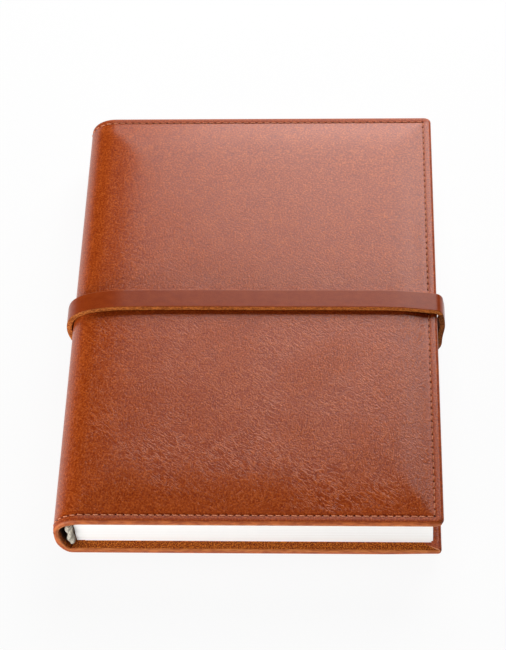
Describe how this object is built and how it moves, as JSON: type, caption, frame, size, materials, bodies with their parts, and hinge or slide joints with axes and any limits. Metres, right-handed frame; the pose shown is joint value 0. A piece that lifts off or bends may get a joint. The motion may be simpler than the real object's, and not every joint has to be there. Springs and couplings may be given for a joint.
{
  "type": "leather journal",
  "caption": "A5 journal in a padded, edge-sewn leather case with a round spine, whose front cover opens, held shut by a plain leather band that slides off.",
  "frame": {"origin": "under the middle of the closed journal, on the surface that its closing band rests on", "axes": "+X from the spine to the fore-edge, +Y from the tail to the head, +Z out of the front cover"},
  "size_m": [0.1676, 0.218, 0.0362],
  "materials": {
    "hide": "satin",
    "suede": "matte",
    "strap_hide": "satin",
    "thread": "satin",
    "board": "matte",
    "felt": "matte",
    "paper": "matte",
    "mull": "matte",
    "band_cloth": "matte"
  },
  "bodies": {
    "book": {"cover_leather": "hide", "hinge_leather": "hide", "cover_lining": "suede", "hinge_lining": "suede", "back_board": "board", "back_padding": "felt", "back_seam_thread": "thread", "back_endpaper": "paper", "page_block": "paper", "spine_mull": "mull", "head_band": "band_cloth", "tail_band": "band_cloth"},
    "front_cover": {"front_cover_leather": "hide", "front_cover_lining": "suede", "front_board": "board", "front_padding": "felt", "front_seam_thread": "thread", "front_endpaper": "paper"},
    "strap": {"strap": "strap_hide"}
  },
  "joints": [
    {"name": "cover_hinge", "type": "hinge", "parent": "book", "child": "front_cover", "pos_m": [-0.0753, 0, 0.0296], "axis": [0, -1, 0], "range_deg": [0, 180], "deforming": ["hinge_leather", "hinge_lining", "strap"]},
    {"name": "strap_slide", "type": "slide", "parent": "book", "child": "strap", "axis": [0, 1, 0], "range_m": [-0.117, 0.117]}
  ]
}
